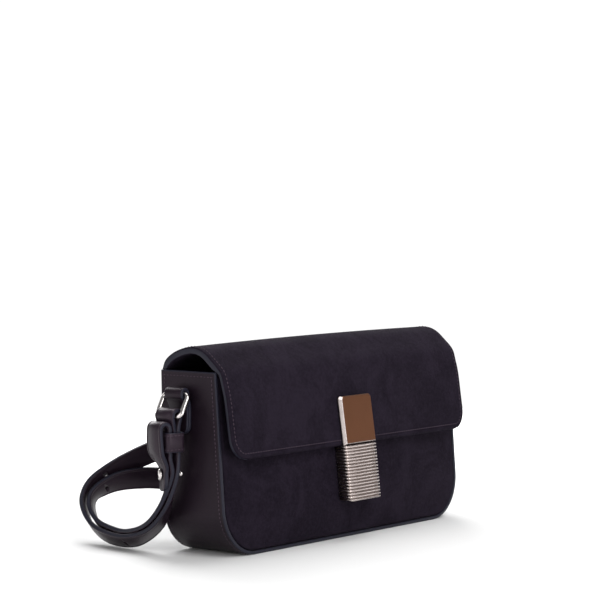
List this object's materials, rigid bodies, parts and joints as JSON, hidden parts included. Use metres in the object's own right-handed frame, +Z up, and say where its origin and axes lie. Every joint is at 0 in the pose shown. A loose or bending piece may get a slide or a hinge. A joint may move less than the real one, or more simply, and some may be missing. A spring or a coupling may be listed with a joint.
{
  "type": "handbag",
  "caption": "Small box-shaped baguette handbag with a suede flap, a smooth leather gusset, a bevelled two-part clasp and a doubled leather shoulder strap on rings.",
  "frame": {"origin": "centre of the base, on the surface that the bag stands on", "axes": "+X along the bag's width, to the right seen from the front; -Y out of the front, where the flap closes; +Z up"},
  "size_m": [0.2941, 0.1366, 0.1283],
  "materials": {
    "suede": "napped",
    "smooth_leather": "semi-matte",
    "polished_metal": "polished",
    "bronze_facing": "satin"
  },
  "bodies": {
    "root": {"gusset": "smooth_leather", "front_panel": "suede", "back_and_flap": "suede", "clasp_plate": "polished_metal", "clasp_facing": "bronze_facing", "clasp_block": "polished_metal", "tab_left": "smooth_leather", "tab_right": "smooth_leather", "ring_left": "polished_metal", "ring_right": "polished_metal", "strap": "smooth_leather", "keeper": "smooth_leather", "stud": "polished_metal"}
  },
  "joints": []
}
